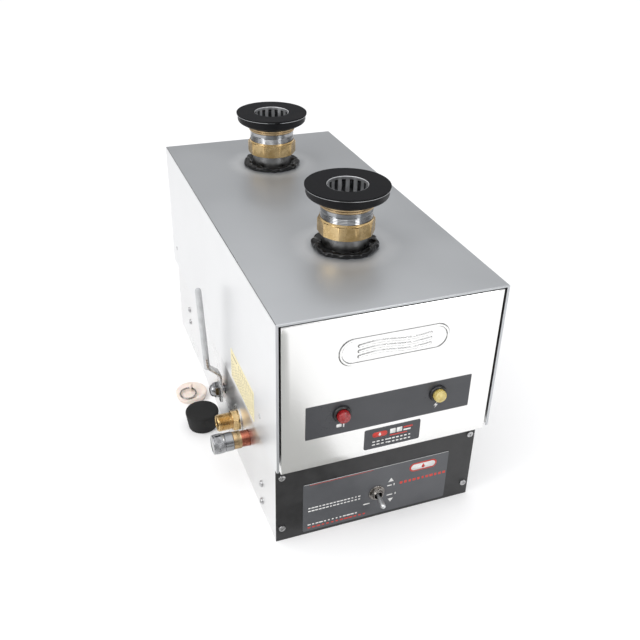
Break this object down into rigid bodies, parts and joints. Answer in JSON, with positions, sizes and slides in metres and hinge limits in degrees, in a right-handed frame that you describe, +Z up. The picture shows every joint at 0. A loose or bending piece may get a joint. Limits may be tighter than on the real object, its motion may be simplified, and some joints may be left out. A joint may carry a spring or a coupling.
{
  "type": "sanitising sink water heater",
  "caption": "Insulated stainless water heater with flanged sink ports on top, over a base box with a control panel, a drain valve lever, a threaded outlet and a capped copper tube.",
  "frame": {"origin": "middle of the casing's footprint, on the floor", "axes": "+Z up, -Y out of the front cover and the control panel, -X towards the drain lever and the outlet"},
  "size_m": [0.2912, 0.514, 0.359],
  "materials": {
    "stainless_casing": "satin",
    "stainless_polished": "polished",
    "stainless_dull": "mill",
    "galvanised": "galvanised",
    "black_paint": "fine texture",
    "label_dark": "printed film",
    "label_cream": "printed film",
    "brass": "machined",
    "chrome": "polished",
    "steel_fastener": "plated",
    "rubber_black": "matte",
    "rubber_beige": "matte",
    "copper": "tube",
    "lens_red": "translucent",
    "lens_amber": "translucent",
    "black_plastic": "moulded",
    "nickel_dark": "plated",
    "lever_zinc": "plated and sleeved",
    "insulation": "fibre",
    "ceramic_white": "glazed",
    "incoloy": "oxidised",
    "red_plastic": "moulded",
    "blue_plastic": "moulded"
  },
  "bodies": {
    "frame": {"outer_casing": "stainless_casing", "rear_panel": "stainless_casing", "base_tray": "stainless_polished", "deck_plate": "galvanised", "casing_rivets": "steel_fastener", "side_screws": "steel_fastener", "rating_label": "label_cream", "tank_shell": "stainless_dull", "tank_lid": "stainless_dull", "tank_supports": "galvanised", "insulation_jacket": "insulation", "insulation_lid": "insulation", "heating_elements": "incoloy", "element_flange": "stainless_dull", "element_gasket": "rubber_black", "element_bolts": "steel_fastener", "port_grommets": "rubber_black", "port_adapters": "chrome", "port_lock_rings": "brass", "port_flanges": "chrome", "port_cone_gaskets": "rubber_black", "port_top_gaskets": "rubber_black", "high_limit_switch": "black_plastic", "level_probe": "ceramic_white", "component_plate": "galvanised", "thermostat": "black_plastic", "thermostat_bulb": "copper", "contactor": "black_plastic", "terminal_block": "black_plastic", "level_relay": "blue_plastic", "conduit_bushing": "steel_fastener", "drain_pipe": "brass", "valve_body": "brass", "drain_outlet": "brass", "fill_tube": "copper"},
    "front_cover": {"front_cover": "stainless_polished", "cover_screws": "steel_fastener", "front_band": "label_dark", "front_sticker": "label_dark", "red_lamp_lens": "lens_red", "yellow_lamp_lens": "lens_amber", "lamp_bezels": "black_plastic", "lamp_nuts": "steel_fastener"},
    "control_panel": {"control_panel": "black_paint", "panel_overlay": "label_dark", "panel_screws": "steel_fastener", "toggle_body": "blue_plastic", "toggle_ring_nut": "nickel_dark"},
    "toggle_lever": {"toggle_lever": "chrome"},
    "drain_lever": {"valve_ball": "chrome", "drain_lever": "lever_zinc"},
    "near_union_nut": {"near_union_nut": "brass"},
    "far_union_nut": {"far_union_nut": "brass"},
    "reset_button": {"reset_button": "red_plastic"},
    "contactor_armature": {"contactor_armature": "blue_plastic"},
    "thermostat_spindle": {"thermostat_spindle": "steel_fastener"},
    "fill_cap": {"fill_cap": "chrome"},
    "solid_stopper": {"solid_stopper": "rubber_black"},
    "disc_stopper": {"disc_stopper": "rubber_beige"},
    "stopper_ring": {"stopper_ring": "chrome"}
  },
  "joints": [
    {"name": "front_cover_pull", "type": "slide", "parent": "frame", "child": "front_cover", "axis": [0, -1, 0], "range_m": [0, 0.06]},
    {"name": "control_panel_pull", "type": "slide", "parent": "frame", "child": "control_panel", "axis": [0, -1, 0], "range_m": [0, 0.06]},
    {"name": "toggle_flip", "type": "hinge", "parent": "control_panel", "child": "toggle_lever", "pos_m": [0, -0.236, 0.0365], "axis": [-1, 0, 0], "range_deg": [0, 24]},
    {"name": "drain_lever_turn", "type": "hinge", "parent": "frame", "child": "drain_lever", "pos_m": [-0.1182, -0.021, 0.06], "axis": [-1, 0, 0], "range_deg": [0, 90]},
    {"name": "near_union_nut_turn", "type": "hinge", "parent": "frame", "child": "near_union_nut", "pos_m": [0, -0.117, 0.315], "axis": [0, 0, 1], "continuous": true},
    {"name": "far_union_nut_turn", "type": "hinge", "parent": "frame", "child": "far_union_nut", "pos_m": [0, 0.145, 0.315], "axis": [0, 0, 1], "continuous": true},
    {"name": "fill_cap_turn", "type": "hinge", "parent": "frame", "child": "fill_cap", "pos_m": [-0.1482, -0.132, 0.066], "axis": [-1, 0, 0], "continuous": true},
    {"name": "reset_press", "type": "slide", "parent": "frame", "child": "reset_button", "axis": [0, 1, 0], "range_m": [0, 0.002], "stiffness_N_per_m": 600},
    {"name": "armature_pull_in", "type": "slide", "parent": "frame", "child": "contactor_armature", "axis": [0, 1, 0], "range_m": [0, 0.003], "stiffness_N_per_m": 800},
    {"name": "thermostat_set", "type": "hinge", "parent": "frame", "child": "thermostat_spindle", "pos_m": [0.07, -0.158, 0.07], "axis": [0, -1, 0], "range_deg": [0, 270]},
    {"name": "solid_stopper_lift", "type": "slide", "parent": "frame", "child": "solid_stopper", "axis": [0, 0, 1], "range_m": [0, 0.02]},
    {"name": "disc_stopper_lift", "type": "slide", "parent": "frame", "child": "disc_stopper", "axis": [0, 0, 1], "range_m": [0, 0.025]},
    {"name": "stopper_ring_flip", "type": "hinge", "parent": "disc_stopper", "child": "stopper_ring", "pos_m": [-0.147, 0.056, 0.0135], "axis": [-0.8192, 0.5736, 0], "range_deg": [0, 150]}
  ]
}
